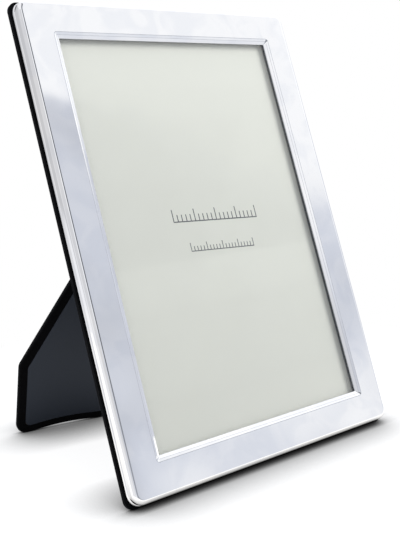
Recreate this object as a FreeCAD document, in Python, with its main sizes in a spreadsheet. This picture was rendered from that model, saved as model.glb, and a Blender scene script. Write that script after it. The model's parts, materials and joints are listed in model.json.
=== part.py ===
"""Easel back photo frame: a pressed silver plated front over a mitred wooden core, with a pane,
a photograph slip, a velvet covered back held by turn buttons, and a slanted, hinged strut.

Units are millimetres and degrees. Pieces are drawn flat, seen from the front: x to the right, y up
the face from the window's centre, z out of the face, so that depth behind the face is minus z.
A placement then leans each piece back on its lower rear edge. In the model's own axes +Z is up,
+Y points behind the frame and the origin is on the floor, in the middle of that edge.
"""
import FreeCAD, Part
import math
import os

import Sketcher
from FreeCAD import Placement, Rotation, Vector

SIZES = [
    ("picture_width", 101.6, "4 inches"),
    ("picture_height", 152.4, "6 inches"),
    ("picture_clearance", 0.3, "gap round the picture and the pane"),
    ("side_lap", 2.8, "how far the front covers the picture's sides"),
    ("end_lap", 3.2, "how far it covers the picture's top and bottom"),
    ("limb_width", 13.555, "front limb, from the window to its outer side"),
    ("bevel_width", 2.15, "slope round the window, seen from the front"),
    ("bevel_depth", 1.0, "how far that slope falls"),
    ("lip_depth", 1.5, "depth of the sheet's folded edge round the window"),
    ("sheet_thickness", 0.5, "silver plated brass sheet"),
    ("shoulder_radius", 1.5, "rounding between the face and the sides"),
    ("front_corner_radius", 4.0, "outer corners of the front"),
    ("front_depth", 4.5, "front, from its face to its rear edge"),
    ("hem_height", 1.4, "rolled hem along that rear edge"),
    ("hem_stand", 0.15, "how far the hem stands out"),
    ("pane_thickness", 2.0, "float glass"),
    ("slip_thickness", 0.25, "printed paper slip"),
    ("back_margin", 0.945, "how far the back stands out past the front"),
    ("back_thickness", 2.0, "velvet covered back, over all"),
    ("velvet_thickness", 0.35, "velvet with its glue"),
    ("velvet_turn_in", 4.0, "velvet folded over the front of the surround"),
    ("velvet_edge_radius", 0.3, "soft rounding of the velvet's outer edges"),
    ("door_overlap", 1.5, "how far the back door bears on the core"),
    ("door_clearance", 0.3, "gap between the door and the surround"),
    ("door_corner_radius", 1.5, "corners of the back door"),
    ("button_up_share", 0.514, "turn buttons, of the back's half height, up and down from its centre"),
    ("button_width", 6.0, "turn button, across"),
    ("button_reach", 11.0, "turn button, from its pivot to its tip"),
    ("button_thickness", 0.6, "turn button sheet"),
    ("button_play", 0.1, "play above and below a turn button"),
    ("post_diameter", 2.4, "turn button pivot"),
    ("post_running_gap", 0.05, "radial clearance of a turn button on its pivot"),
    ("post_head_diameter", 4.6, "head of that pivot"),
    ("post_head_height", 0.8, "height of that head"),
    ("post_bite", 1.5, "how deep the pivot goes into the core"),
    ("seat_gap", 0.03, "radial room of a fixed pin in its hole"),
    ("edge_flat", 0.24, "how far the back's lower edge is pressed flat where it rests"),
    ("foot_flat", 0.05, "how far the strut's foot is pressed flat at its toe"),
    ("hinge_slant_deg", 18.0, "angle of the hinge axis, down to the right"),
    ("hinge_opening_deg", 36.0, "angle of the strut, from flat on the back to its stop"),
    ("hinge_across_share", 0.2512, "hinge centre, of the back's half width, right of its centre"),
    ("hinge_up_share", 0.4766, "hinge centre, of the back's half height, above its centre"),
    ("hinge_pin_diameter", 1.5, "hinge pin"),
    ("knuckle_wall", 0.75, "hinge's knuckles, round the pin"),
    ("knuckle_gap", 0.3, "clearance round the knuckles"),
    ("hinge_running_gap", 0.05, "radial clearance of the moving knuckle"),
    ("hinge_end_gap", 0.3, "gap between neighbouring knuckles"),
    ("hinge_plate_thickness", 0.6, "hinge leaves"),
    ("moving_knuckle_length", 12.0, "middle knuckle, on the strut's leaf"),
    ("fixed_knuckle_length", 9.0, "each outer knuckle, on the fixed leaf"),
    ("fixed_leaf_height", 13.0, "fixed leaf, from the axis"),
    ("moving_leaf_height", 15.0, "moving leaf, from the axis"),
    ("stop_gap", 0.05, "play left at the hinge's stop"),
    ("pin_head_radius", 1.15, "upset ends of the hinge pin"),
    ("pin_head_height", 0.5, "upset ends of the hinge pin"),
    ("rivet_diameter", 2.0, "rivets of the hinge leaves"),
    ("rivet_head_diameter", 3.8, "heads of those rivets"),
    ("rivet_head_height", 0.5, "heads of those rivets"),
    ("rivet_spread", 18.0, "between the two rivets of a leaf"),
    ("rivet_from_axis", 8.5, "rivets, from the hinge axis"),
    ("rivet_end_cover", 0.1, "how far the fixed rivets end inside the door"),
    ("strut_thickness", 3.0, "strut, over all"),
    ("strut_top_margin", 0.7, "strut's top, past each end of the hinge"),
    ("strut_above_axis", 3.0, "strut's top edge, past the hinge axis"),
    ("strut_side_margin", 1.6, "closed strut, inside the back's left side"),
    ("strut_foot_margin", 2.3, "closed strut, inside the back's lower side"),
    ("side_foot_share", 0.181, "strut's left edge, of the back's height; its foot when landscape"),
    ("foot_share", 0.312, "strut's lower edge, of the back's width; its foot when the frame stands"),
    ("strut_foot_pad", 5.5, "straight ends of that foot"),
    ("strut_foot_arch", 1.0, "how far the foot arches between them"),
    ("strut_corner_radius", 4.0, "rounded corners of the strut"),
    ("strut_border", 3.3, "velvet turned in round the lining"),
    ("lining_gap", 0.1, "seam between that border and the lining"),
    ("floor_overrun", 20.0, "how far the floor's cutting block runs past the frame"),
]

doc = FreeCAD.newDocument("photo_frame")
sheet = doc.addObject("Spreadsheet::Sheet", "Sizes")
for row, (alias, value, note) in enumerate(SIZES, start=1):
    sheet.set(f"A{row}", str(value))
    sheet.setAlias(f"A{row}", alias)
    sheet.set(f"B{row}", note)
doc.recompute()


def size(alias):
    """The value of a cell of the sheet."""
    return float(sheet.get(alias))


# Sizes worked out from those of the sheet, written as expressions
WINDOW_X = "(Sizes.picture_width / 2 - Sizes.side_lap)"
WINDOW_Y = "(Sizes.picture_height / 2 - Sizes.end_lap)"
FRONT_X = f"({WINDOW_X} + Sizes.limb_width)"
FRONT_Y = f"({WINDOW_Y} + Sizes.limb_width)"
CORE_X = f"({FRONT_X} - Sizes.sheet_thickness)"
CORE_Y = f"({FRONT_Y} - Sizes.sheet_thickness)"
REBATE_X = "(Sizes.picture_width / 2 + Sizes.picture_clearance)"
REBATE_Y = "(Sizes.picture_height / 2 + Sizes.picture_clearance)"
BACK_X = f"({FRONT_X} + Sizes.back_margin)"
BACK_Y = f"({FRONT_Y} + Sizes.back_margin)"
DOOR_X = f"({REBATE_X} + Sizes.door_overlap)"
DOOR_Y = f"({REBATE_Y} + Sizes.door_overlap)"
MOUTH_X = f"({DOOR_X} + Sizes.door_clearance)"
MOUTH_Y = f"({DOOR_Y} + Sizes.door_clearance)"
BACK_DEPTH = "(Sizes.front_depth + Sizes.back_thickness)"
KNUCKLE = "(Sizes.hinge_pin_diameter / 2 + Sizes.knuckle_wall)"
HINGE_RISE = f"({KNUCKLE} + Sizes.knuckle_gap)"
AXIS_DEPTH = f"({BACK_DEPTH} + {HINGE_RISE})"
STRUT_NEAR = f"({AXIS_DEPTH} + {HINGE_RISE})"
STRUT_FAR = f"({STRUT_NEAR} + Sizes.strut_thickness)"
HINGE_X = f"({BACK_X} * Sizes.hinge_across_share)"
HINGE_Y = f"({BACK_Y} * Sizes.hinge_up_share)"
HINGE_HALF = "(Sizes.moving_knuckle_length / 2 + Sizes.hinge_end_gap + Sizes.fixed_knuckle_length)"
LEAF_NEAR = f"({HINGE_RISE} - Sizes.hinge_plate_thickness)"
LEAF_NOTCH = f"sqrt({HINGE_RISE} * {HINGE_RISE} - {LEAF_NEAR} * {LEAF_NEAR})"
STRUT_LEFT = f"(Sizes.strut_side_margin - {BACK_X})"
STRUT_BOTTOM = f"(Sizes.strut_foot_margin - {BACK_Y})"
STRUT_TOE = f"({STRUT_LEFT} + 2 * {BACK_X} * Sizes.foot_share)"
TOE_PAD = f"({STRUT_TOE} - Sizes.strut_foot_pad)"


def value_of(expression):
    """The number that an expression on the sheet gives."""
    return float(sheet.evalExpression(expression))


HINGE_CENTRE = Vector(value_of(HINGE_X), value_of(HINGE_Y), -value_of(AXIS_DEPTH))
HINGE_TURN = Rotation(Vector(0, 0, 1), -size("hinge_slant_deg"))
HINGE_LINE = HINGE_TURN.multVec(Vector(1, 0, 0))
OPENING = Placement(Vector(), Rotation(HINGE_LINE, size("hinge_opening_deg")), HINGE_CENTRE)


def find_lean():
    """How far the frame leans back when its lower rear edge and the open strut's toe are on the floor."""
    toe = OPENING.multVec(Vector(value_of(TOE_PAD), value_of(STRUT_BOTTOM), -value_of(STRUT_NEAR)))
    up = toe.y + value_of(BACK_Y)
    behind = -toe.z - value_of(BACK_DEPTH)
    reach = math.hypot(up, behind)
    return math.atan2(up, behind) - math.asin((size("edge_flat") - size("foot_flat")) / reach)


LEAN = find_lean()
REST_RISE = size("edge_flat") / 2 / math.cos(LEAN)
REST_RUN = size("edge_flat") / 2 / math.sin(LEAN)
REST_POINT = Vector(0, REST_RISE - value_of(BACK_Y), REST_RUN - value_of(BACK_DEPTH))
LEANING = Placement(Vector(), Rotation(Vector(1, 0, 0), 90 - math.degrees(LEAN)))
STANDING = LEANING.multiply(Placement(-REST_POINT, Rotation()))
STANDING_STRUT = STANDING.multiply(OPENING)
FIXED_HINGE = STANDING.multiply(Placement(HINGE_CENTRE, HINGE_TURN))
MOVING_HINGE = STANDING_STRUT.multiply(Placement(HINGE_CENTRE, HINGE_TURN))


def origin_plane(body, role):
    """One of a body's own origin planes, by its role."""
    return next(item for item in body.Origin.OriginFeatures if item.Role == role)


def constrain_point(sketch, geometry, end, x, y):
    """Ties one end of a sketch line to expressions for its two coordinates."""
    for kind, expression in (("DistanceX", x), ("DistanceY", y)):
        name = f"{kind}_{geometry}"
        here = value_of(expression)
        sketch.addConstraint(Sketcher.Constraint(kind, -1, 1, geometry, end, here))
        sketch.renameConstraint(sketch.ConstraintCount - 1, name)
        sketch.setExpression(f"Constraints.{name}", expression)


def draw_outline(sketch, points, arches=()):
    """Draws a closed outline through points given as pairs of expressions.

    An item of arches gives the number of a side that is an arc, and the expression of its radius.
    """
    arches = dict(arches)
    first = sketch.GeometryCount
    places = [Vector(value_of(x), value_of(y), 0) for x, y in points]
    for number, start in enumerate(places):
        stop = places[(number + 1) % len(places)]
        if number in arches:
            radius = value_of(arches[number])
            middle = (start + stop) / 2
            half = (stop - start).Length / 2
            drop = math.sqrt(radius * radius - half * half)
            centre = middle - Vector(0, drop, 0)
            circle = Part.Circle(centre, Vector(0, 0, 1), radius)
            left, right = circle.parameter(stop), circle.parameter(start)
            sketch.addGeometry(Part.ArcOfCircle(circle, left, right))
        else:
            sketch.addGeometry(Part.LineSegment(start, stop))
    count = len(points)
    for number in range(count):
        here = first + number
        after = first + (number + 1) % count
        end = 1 if number in arches else 2
        start = 2 if (number + 1) % count in arches else 1
        sketch.addConstraint(Sketcher.Constraint("Coincident", here, end, after, start))
    for number, (x, y) in enumerate(points):
        constrain_point(sketch, first + number, 2 if number in arches else 1, x, y)
    for number, radius in arches.items():
        name = f"Radius_{first + number}"
        sketch.addConstraint(Sketcher.Constraint("Radius", first + number, value_of(radius)))
        sketch.renameConstraint(sketch.ConstraintCount - 1, name)
        sketch.setExpression(f"Constraints.{name}", radius)


def rectangle(half_x, half_y):
    """The four corners of a centred rectangle, as expressions."""
    return [
        (f"-{half_x}", f"-{half_y}"),
        (half_x, f"-{half_y}"),
        (half_x, half_y),
        (f"-{half_x}", half_y),
    ]


def add_sketch(body, name, depth, outlines):
    """A sketch in a body, parallel to the face at a given depth behind it."""
    sketch = body.newObject("Sketcher::SketchObject", name)
    sketch.AttachmentSupport = (origin_plane(body, "XY_Plane"), [""])
    sketch.MapMode = "FlatFace"
    sketch.setExpression("AttachmentOffset.Base.z", f"-{depth}")
    for outline in outlines:
        draw_outline(sketch, outline)
    return sketch


def add_pad(body, name, rear, length, outlines):
    """Adds a plate whose rear face lies at a depth and that runs forward by a length."""
    sketch = add_sketch(body, f"{name}_sketch", rear, outlines)
    pad = body.newObject("PartDesign::Pad", name)
    pad.Profile = sketch
    pad.setExpression("Length", length)
    doc.recompute()


def add_pocket(body, name, rear, length, outlines):
    """Cuts a recess that starts at a depth and runs forward by a length."""
    before = body.Shape.Volume
    sketch = add_sketch(body, f"{name}_sketch", rear, outlines)
    pocket = body.newObject("PartDesign::Pocket", name)
    pocket.Profile = sketch
    pocket.Reversed = True
    pocket.setExpression("Length", length)
    doc.recompute()
    if body.Shape.Volume >= before:
        raise RuntimeError(f"{body.Label}: {name} cuts nothing")


def edges_where(shape, test):
    """The names of the edges of a shape that pass a test."""
    return [f"Edge{number}" for number, edge in enumerate(shape.Edges, start=1) if test(edge)]


def upright(edge):
    """Whether an edge runs straight through the thickness."""
    low, high = edge.BoundBox.ZMin, edge.BoundBox.ZMax
    return edge.BoundBox.XLength + edge.BoundBox.YLength < high - low


def level_at(depth):
    """A test for edges that lie at one depth behind the face."""
    height = -value_of(depth)
    slack = size("seat_gap")
    return lambda edge: max(abs(edge.BoundBox.ZMin - height), abs(edge.BoundBox.ZMax - height)) < slack


def outside(half_x, half_y):
    """A test for edges that reach no nearer the centre than a rectangle's sides."""
    x, y = value_of(half_x), value_of(half_y)
    slack = size("seat_gap")

    def test(edge):
        middle = edge.CenterOfMass
        return abs(middle.x) > x - slack or abs(middle.y) > y - slack

    return test


def add_fillet(body, name, radius, test):
    """Rounds the edges of a body that pass a test."""
    base = body.Tip
    fillet = body.newObject("PartDesign::Fillet", name)
    fillet.Base = (base, edges_where(base.Shape, test))
    fillet.setExpression("Radius", radius)
    doc.recompute()


def new_body(label, placement=STANDING):
    """An empty body for one piece."""
    body = doc.addObject("PartDesign::Body", label)
    body.Label = label
    body.Placement = placement
    return body


def plate(label, rear, thickness, outlines, placement=STANDING):
    """A flat piece of even thickness, given by its outlines."""
    body = new_body(label, placement)
    add_pad(body, f"{label}_pad", rear, thickness, outlines)
    return body


# Front

def make_front():
    """The pressed front: face, shoulder, hemmed sides, bevelled window and its folded lip."""
    body = new_body("front_blank", Placement())
    hem_x = f"({FRONT_X} + Sizes.hem_stand)"
    hem_y = f"({FRONT_Y} + Sizes.hem_stand)"
    hem_front = "(Sizes.front_depth - Sizes.hem_height)"
    add_pad(body, "hem", "Sizes.front_depth", "Sizes.hem_height", [rectangle(hem_x, hem_y)])
    add_pad(body, "block", hem_front, hem_front, [rectangle(FRONT_X, FRONT_Y)])
    add_fillet(body, "outer_corners", "Sizes.front_corner_radius", upright)
    add_fillet(body, "shoulder", "Sizes.shoulder_radius", level_at("0"))
    window = rectangle(WINDOW_X, WINDOW_Y)
    rebate = rectangle(REBATE_X, REBATE_Y)
    add_pocket(body, "window", "Sizes.front_depth", "Sizes.front_depth", [window])
    at_face = level_at("0")
    past_bevel = outside(f"({WINDOW_X} + Sizes.bevel_width)", f"({WINDOW_Y} + Sizes.bevel_width)")
    base = body.Tip
    rim = edges_where(base.Shape, lambda edge: at_face(edge) and not past_bevel(edge))
    bevel = body.newObject("PartDesign::Chamfer", "bevel")
    bevel.Base = (base, rim)
    bevel.ChamferType = "Two distances"
    bevel.setExpression("Size", "Sizes.bevel_width")
    bevel.setExpression("Size2", "Sizes.bevel_depth")
    doc.recompute()
    lip_length = "(Sizes.front_depth - Sizes.lip_depth)"
    add_pocket(body, "rebate", "Sizes.front_depth", lip_length, [rebate])
    hollow = new_body("front_hollow", Placement())
    shell = "(Sizes.front_depth - Sizes.sheet_thickness)"
    add_pad(hollow, "hollow_pad", "Sizes.front_depth", shell, [rectangle(CORE_X, CORE_Y)])
    add_fillet(hollow, "hollow_corners", "(Sizes.front_corner_radius - Sizes.sheet_thickness)", upright)
    inner_radius = "(Sizes.shoulder_radius - Sizes.sheet_thickness)"
    add_fillet(hollow, "hollow_shoulder", inner_radius, level_at("Sizes.sheet_thickness"))
    add_pocket(hollow, "hollow_middle", "Sizes.front_depth", shell, [rebate])
    return cut("front_moulding", body, hollow)


def make_core(holes):
    """The four mitred rails that fill the front, cut from one block with rounded corners."""
    block = new_body("core_block", Placement())
    length = "(Sizes.front_depth - Sizes.sheet_thickness)"
    add_pad(block, "core_pad", "Sizes.front_depth", length, [rectangle(CORE_X, CORE_Y)])
    radius = "(Sizes.front_corner_radius - Sizes.sheet_thickness)"
    add_fillet(block, "core_corners", radius, upright)
    base = block.Tip
    ease = block.newObject("PartDesign::Chamfer", "core_ease")
    ease.Base = (base, edges_where(base.Shape, level_at("Sizes.sheet_thickness")))
    ease.setExpression("Size", "Sizes.shoulder_radius - Sizes.sheet_thickness")
    doc.recompute()
    near, far = (REBATE_X, REBATE_Y), (CORE_X, CORE_Y)
    sides = {"top": (0, 1), "right": (1, 0), "bottom": (0, -1), "left": (-1, 0)}
    rails = []
    for side, (across, along) in sides.items():
        corners = []
        for (x, y), ends in ((near, (-1, 1)), (far, (1, -1))):
            for end in ends:
                sign_x = across if across else end
                sign_y = along if along else end
                corners.append((f"{sign_x} * {x}", f"{sign_y} * {y}"))
        wedge = plate(f"wedge_{side}", "Sizes.front_depth", length, [corners], Placement())
        rail = doc.addObject("Part::Common", f"plain_rail_{side}")
        rail.Base = wedge
        rail.Tool = block
        rails.append(cut(f"core_rail_{side}", rail, holes))
    return rails


def make_post_holes(radius):
    """Four upright cylinders at the turn buttons' pivots, long enough to cut every layer."""
    holes = []
    start = f"({BACK_DEPTH} + Sizes.button_play)"
    for number, (x, y) in enumerate(button_places()):
        hole = doc.addObject("Part::Cylinder", "post_hole")
        hole.setExpression("Radius", radius)
        hole.setExpression("Height", "Sizes.post_bite + Sizes.back_thickness + 2 * Sizes.button_play")
        hole.setExpression("Placement.Base.x", x)
        hole.setExpression("Placement.Base.y", y)
        hole.setExpression("Placement.Base.z", f"-{start}")
        holes.append(hole)
    group = doc.addObject("Part::Compound", "post_holes")
    group.Links = holes
    doc.recompute()
    return group


def button_places():
    """The pivots of the turn buttons: upper left, lower left, upper right, lower right."""
    across = f"(({MOUTH_X} + {BACK_X}) / 2)"
    up = f"({BACK_Y} * Sizes.button_up_share)"
    return [(f"-{across}", up), (f"-{across}", f"-{up}"), (across, up), (across, f"-{up}")]


def cut(label, base, tool, placement=STANDING):
    """A piece that is one shape less another, both drawn flat."""
    result = doc.addObject("Part::Cut", label)
    result.Label = label
    result.Base = base
    result.Tool = tool
    result.Placement = placement
    doc.recompute()
    return result


# Back

def make_surround(holes):
    """The ring that frames the back door: a board, and the velvet that covers it."""
    outer = new_body("surround_outer", Placement())
    add_pad(outer, "surround_pad", BACK_DEPTH, "Sizes.back_thickness", [rectangle(BACK_X, BACK_Y)])
    radius = "(Sizes.front_corner_radius + Sizes.back_margin)"
    add_fillet(outer, "surround_corners", radius, upright)
    add_fillet(outer, "surround_soft_rear", "Sizes.velvet_edge_radius", level_at(BACK_DEPTH))
    add_fillet(outer, "surround_soft_front", "Sizes.velvet_edge_radius", level_at("Sizes.front_depth"))
    mouth = rectangle(MOUTH_X, MOUTH_Y)
    add_pocket(outer, "surround_mouth", BACK_DEPTH, "Sizes.back_thickness", [mouth])
    board = new_body("surround_blank", Placement())
    rear = f"({BACK_DEPTH} - Sizes.velvet_thickness)"
    thickness = "(Sizes.back_thickness - Sizes.velvet_thickness)"
    board_x = f"({BACK_X} - Sizes.velvet_thickness)"
    board_y = f"({BACK_Y} - Sizes.velvet_thickness)"
    add_pad(board, "board_pad", rear, thickness, [rectangle(board_x, board_y)])
    add_fillet(board, "board_corners", f"({radius} - Sizes.velvet_thickness)", upright)
    hole_x = f"({MOUTH_X} + Sizes.velvet_thickness)"
    hole_y = f"({MOUTH_Y} + Sizes.velvet_thickness)"
    add_pocket(board, "board_mouth", rear, thickness, [rectangle(hole_x, hole_y)])
    fold_x = f"({BACK_X} - Sizes.velvet_turn_in)"
    fold_y = f"({BACK_Y} - Sizes.velvet_turn_in)"
    step = "(Sizes.front_depth + Sizes.velvet_thickness)"
    fold = [rectangle(BACK_X, BACK_Y), rectangle(fold_x, fold_y)]
    add_pocket(board, "board_fold", step, "Sizes.velvet_thickness", fold)
    surround_board = cut("surround_board", board, holes)
    skin = cut("surround_skin", outer, board, Placement())
    pierced = cut("surround_pierced", skin, holes, Placement())
    return surround_board, pierced


def make_door(rivet_holes):
    """The back door: a board, and the velvet over its rear face and its edges."""
    outer = new_body("door_outer", Placement())
    add_pad(outer, "door_pad", BACK_DEPTH, "Sizes.back_thickness", [rectangle(DOOR_X, DOOR_Y)])
    add_fillet(outer, "door_corners", "Sizes.door_corner_radius", upright)
    add_fillet(outer, "door_soft_rear", "Sizes.velvet_edge_radius", level_at(BACK_DEPTH))
    rear = f"({BACK_DEPTH} - Sizes.velvet_thickness)"
    thickness = "(Sizes.back_thickness - Sizes.velvet_thickness)"
    board_x = f"({DOOR_X} - Sizes.velvet_thickness)"
    board_y = f"({DOOR_Y} - Sizes.velvet_thickness)"
    board = plate("door_blank", rear, thickness, [rectangle(board_x, board_y)], Placement())
    board_radius = "(Sizes.door_corner_radius - Sizes.velvet_thickness)"
    add_fillet(board, "door_board_corners", board_radius, upright)
    door_board = cut("door_board", board, rivet_holes)
    skin = cut("door_skin", outer, board, Placement())
    door_velvet = cut("door_velvet", skin, rivet_holes)
    return door_board, door_velvet


# Turn buttons and their pivots

def make_posts():
    """The four headed pivots, one group."""
    posts = []
    shaft_start = f"({BACK_DEPTH} + Sizes.button_thickness + 2 * Sizes.button_play)"
    for x, y in button_places():
        shaft = doc.addObject("Part::Cylinder", "post_shaft")
        shaft.setExpression("Radius", "Sizes.post_diameter / 2")
        length = "Sizes.post_bite + Sizes.back_thickness + Sizes.button_thickness + 2 * Sizes.button_play"
        shaft.setExpression("Height", length)
        head = doc.addObject("Part::Cylinder", "post_head")
        head.setExpression("Radius", "Sizes.post_head_diameter / 2")
        head.setExpression("Height", "Sizes.post_head_height")
        for piece, depth in ((shaft, shaft_start), (head, f"({shaft_start} + Sizes.post_head_height)")):
            piece.setExpression("Placement.Base.x", x)
            piece.setExpression("Placement.Base.y", y)
            piece.setExpression("Placement.Base.z", f"-{depth}")
        post = doc.addObject("Part::Fuse", "post")
        post.Base = shaft
        post.Tool = head
        posts.append(post)
    group = doc.addObject("Part::Compound", "button_posts")
    group.Label = "button_posts"
    group.Links = posts
    group.Placement = STANDING
    doc.recompute()
    return group


def make_button(label, x, y):
    """One turn button, pointing to the frame's centre line."""
    inwards = "-1" if value_of(x) > 0 else "1"
    half = "(Sizes.button_width / 2)"
    reach = f"(Sizes.button_reach - {half})"
    bar = doc.addObject("Part::Box", f"{label}_bar")
    bar.setExpression("Length", reach)
    bar.setExpression("Width", "Sizes.button_width")
    bar.setExpression("Height", "Sizes.button_thickness")
    left = "0" if inwards == "1" else reach
    bar.setExpression("Placement.Base.x", f"-{left}")
    bar.setExpression("Placement.Base.y", f"-{half}")
    ends = []
    for number, place in enumerate(("0", f"{inwards} * {reach}")):
        end = doc.addObject("Part::Cylinder", f"{label}_end")
        end.setExpression("Radius", half)
        end.setExpression("Height", "Sizes.button_thickness")
        end.setExpression("Placement.Base.x", place)
        ends.append(end)
    blank = doc.addObject("Part::MultiFuse", f"{label}_blank")
    blank.Shapes = [bar] + ends
    blank.Refine = True
    bore = doc.addObject("Part::Cylinder", f"{label}_bore")
    bore.setExpression("Radius", "Sizes.post_diameter / 2 + Sizes.post_running_gap")
    bore.setExpression("Height", "Sizes.button_thickness")
    depth = f"({BACK_DEPTH} + Sizes.button_play + Sizes.button_thickness)"
    pivot = Placement(Vector(value_of(x), value_of(y), -value_of(depth)), Rotation())
    return cut(label, blank, bore, STANDING.multiply(pivot))


# Hinge, drawn about its own axis: x along the axis, y up the back, z towards the face

def box(label, low, high):
    """A block between two corners given as triples of expressions."""
    block = doc.addObject("Part::Box", label)
    for side, axis, start, stop in zip(("Length", "Width", "Height"), "xyz", low, high):
        block.setExpression(side, f"{stop} - ({start})")
        block.setExpression(f"Placement.Base.{axis}", start)
    return block


def barrel(label, radius, start, stop):
    """A cylinder on the hinge axis."""
    tube = doc.addObject("Part::Cylinder", label)
    tube.Placement = Placement(Vector(), Rotation(Vector(0, 1, 0), 90))
    tube.setExpression("Radius", radius)
    tube.setExpression("Height", f"{stop} - ({start})")
    tube.setExpression("Placement.Base.x", start)
    return tube


def rivet_row(label, up, near, far, heads):
    """Two cylinders square to a leaf, with a larger one for each head, as one group."""
    rivets = []
    for side in ("-1", "1"):
        pieces = []
        for radius, low, high in [("Sizes.rivet_diameter / 2", near, far)] + heads:
            piece = doc.addObject("Part::Cylinder", f"{label}_piece")
            piece.setExpression("Radius", radius)
            piece.setExpression("Height", f"{high} - ({low})")
            piece.setExpression("Placement.Base.x", f"{side} * Sizes.rivet_spread / 2")
            piece.setExpression("Placement.Base.y", up)
            piece.setExpression("Placement.Base.z", low)
            pieces.append(piece)
        rivet = doc.addObject("Part::MultiFuse", f"{label}_rivet")
        rivet.Shapes = pieces
        rivets.append(rivet if heads else pieces[0])
    group = doc.addObject("Part::Compound", label)
    group.Label = label
    group.Links = rivets
    doc.recompute()
    return group


def rivet_bores(label, up, near, far):
    """The two holes of a leaf's rivets, through everything between two heights."""
    bores = []
    for side in ("-1", "1"):
        bore = doc.addObject("Part::Cylinder", f"{label}_bore")
        bore.setExpression("Radius", "Sizes.rivet_diameter / 2 + Sizes.seat_gap")
        bore.setExpression("Height", f"{far} - ({near})")
        bore.setExpression("Placement.Base.x", f"{side} * Sizes.rivet_spread / 2")
        bore.setExpression("Placement.Base.y", up)
        bore.setExpression("Placement.Base.z", near)
        bores.append(bore)
    group = doc.addObject("Part::Compound", label)
    group.Links = bores
    doc.recompute()
    return group


FIXED_ROW = "Sizes.rivet_from_axis"
MOVING_ROW = "-Sizes.rivet_from_axis"
MIDDLE = "(Sizes.moving_knuckle_length / 2)"
MIDDLE_GAP = f"({MIDDLE} + Sizes.hinge_end_gap)"


def make_fixed_leaf():
    """The leaf on the back door, with the two outer knuckles."""
    top = HINGE_RISE
    sheet_part = box(
        "fixed_sheet",
        (f"-{HINGE_HALF}", "0", LEAF_NEAR),
        (HINGE_HALF, "Sizes.fixed_leaf_height", top),
    )
    knuckles = [
        barrel("fixed_knuckle", KNUCKLE, f"-{HINGE_HALF}", f"-{MIDDLE_GAP}"),
        barrel("fixed_knuckle", KNUCKLE, MIDDLE_GAP, HINGE_HALF),
    ]
    blank = doc.addObject("Part::MultiFuse", "fixed_blank")
    blank.Shapes = [sheet_part] + knuckles
    notch = box(
        "fixed_notch",
        (f"-{MIDDLE_GAP}", f"-{KNUCKLE}", f"-{KNUCKLE}"),
        (MIDDLE_GAP, f"{LEAF_NOTCH} + Sizes.hinge_end_gap", HINGE_RISE),
    )
    bore = barrel("fixed_bore", "Sizes.hinge_pin_diameter / 2 + Sizes.seat_gap", f"-{HINGE_HALF}", HINGE_HALF)
    holes = rivet_bores("fixed_leaf_bores", FIXED_ROW, LEAF_NEAR, top)
    cutters = doc.addObject("Part::Compound", "fixed_cutters")
    cutters.Links = [notch, bore, holes]
    doc.recompute()
    return cut("hinge_fixed_leaf", blank, cutters, FIXED_HINGE)


def make_moving_leaf():
    """The leaf on the strut: the middle knuckle, and the tongue that meets the fixed leaf as a stop."""
    near, far = f"-{HINGE_RISE}", f"-{LEAF_NEAR}"
    turn = "Sizes.hinge_opening_deg"
    stop = f"({LEAF_NEAR} * (1 + cos({turn})) / sin({turn}) - Sizes.stop_gap / sin({turn}))"
    lower = box(
        "moving_sheet",
        (f"-{HINGE_HALF}", "-Sizes.moving_leaf_height", near),
        (HINGE_HALF, f"-{LEAF_NOTCH}", far),
    )
    tongue = box("moving_tongue", (f"-{MIDDLE}", f"-{LEAF_NOTCH}", near), (MIDDLE, stop, far))
    knuckle = barrel("moving_knuckle", KNUCKLE, f"-{MIDDLE}", MIDDLE)
    blank = doc.addObject("Part::MultiFuse", "moving_blank")
    blank.Shapes = [lower, tongue, knuckle]
    bore_radius = "Sizes.hinge_pin_diameter / 2 + Sizes.hinge_running_gap"
    bore = barrel("moving_bore", bore_radius, f"-{MIDDLE}", MIDDLE)
    holes = rivet_bores("moving_leaf_bores", MOVING_ROW, near, far)
    cutters = doc.addObject("Part::Compound", "moving_cutters")
    cutters.Links = [bore, holes]
    doc.recompute()
    return cut("hinge_moving_leaf", blank, cutters, MOVING_HINGE)


def make_hinge_pin():
    """The pin through the three knuckles, upset at both ends."""
    end = f"({HINGE_HALF} + Sizes.pin_head_height)"
    pieces = [
        barrel("pin_shaft", "Sizes.hinge_pin_diameter / 2", f"-{HINGE_HALF}", HINGE_HALF),
        barrel("pin_end", "Sizes.pin_head_radius", f"-{end}", f"-{HINGE_HALF}"),
        barrel("pin_end", "Sizes.pin_head_radius", HINGE_HALF, end),
    ]
    pin = doc.addObject("Part::MultiFuse", "hinge_pin")
    pin.Label = "hinge_pin"
    pin.Shapes = pieces
    pin.Placement = FIXED_HINGE
    return pin


def make_fixed_rivets():
    """The rivets that hold the fixed leaf to the back door."""
    end = f"({HINGE_RISE} + Sizes.back_thickness - Sizes.rivet_end_cover)"
    head = ("Sizes.rivet_head_diameter / 2", f"({LEAF_NEAR} - Sizes.rivet_head_height)", LEAF_NEAR)
    rivets = rivet_row("hinge_door_rivets", FIXED_ROW, LEAF_NEAR, end, [head])
    rivets.Placement = FIXED_HINGE
    return rivets


def make_moving_rivets():
    """The rivets that hold the moving leaf to the strut."""
    leaf = f"-{LEAF_NEAR}"
    outer = f"-({HINGE_RISE} + Sizes.strut_thickness)"
    head = ("Sizes.rivet_head_diameter / 2", leaf, f"(Sizes.rivet_head_height - {LEAF_NEAR})")
    tail = ("Sizes.rivet_head_diameter / 2", f"({outer} - Sizes.rivet_head_height)", outer)
    rivets = rivet_row("hinge_strut_rivets", MOVING_ROW, outer, leaf, [head, tail])
    rivets.Placement = MOVING_HINGE
    return rivets


# Strut, drawn closed, flat behind the back

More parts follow.
